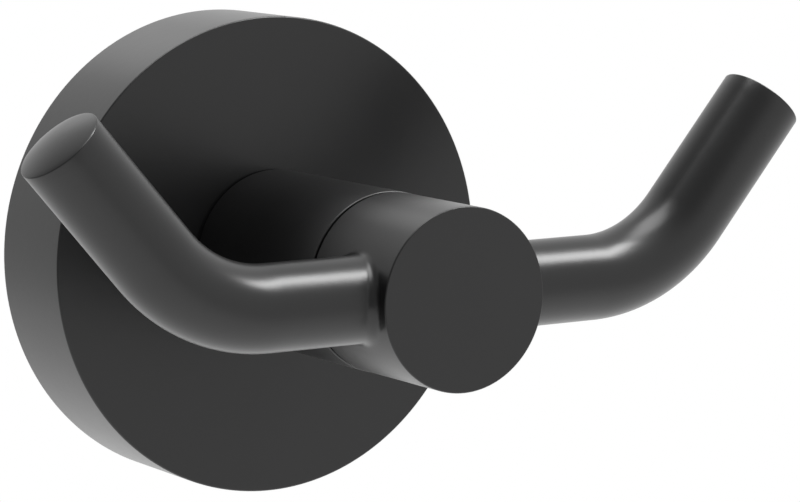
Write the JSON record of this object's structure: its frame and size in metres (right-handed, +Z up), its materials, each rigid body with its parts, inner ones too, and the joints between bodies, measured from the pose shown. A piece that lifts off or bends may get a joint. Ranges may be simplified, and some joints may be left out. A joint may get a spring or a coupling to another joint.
{
  "type": "double robe hook",
  "caption": "Matte black double robe hook: round wall rose, cylindrical post, cast head with round arms that reach left and right and bend upwards, hidden wall plate and grub screw.",
  "frame": {"origin": "centre of the back face, on the wall plane and on the post's axis", "axes": "+Y into the wall, so the post stands out along -Y; +Z up; +X to the right of someone who faces the wall"},
  "size_m": [0.0948, 0.0543, 0.055],
  "materials": {
    "matte_black": "matt black powder coat with a soft sheen",
    "zinc_steel": "bright zinc plated steel",
    "black_steel": "black oxide steel"
  },
  "bodies": {
    "root": {"wall_plate": "zinc_steel", "rose": "matte_black", "lock_washer": "zinc_steel", "post_screw": "zinc_steel", "neck": "matte_black", "hook_head": "matte_black", "grub_screw": "black_steel"}
  },
  "joints": []
}
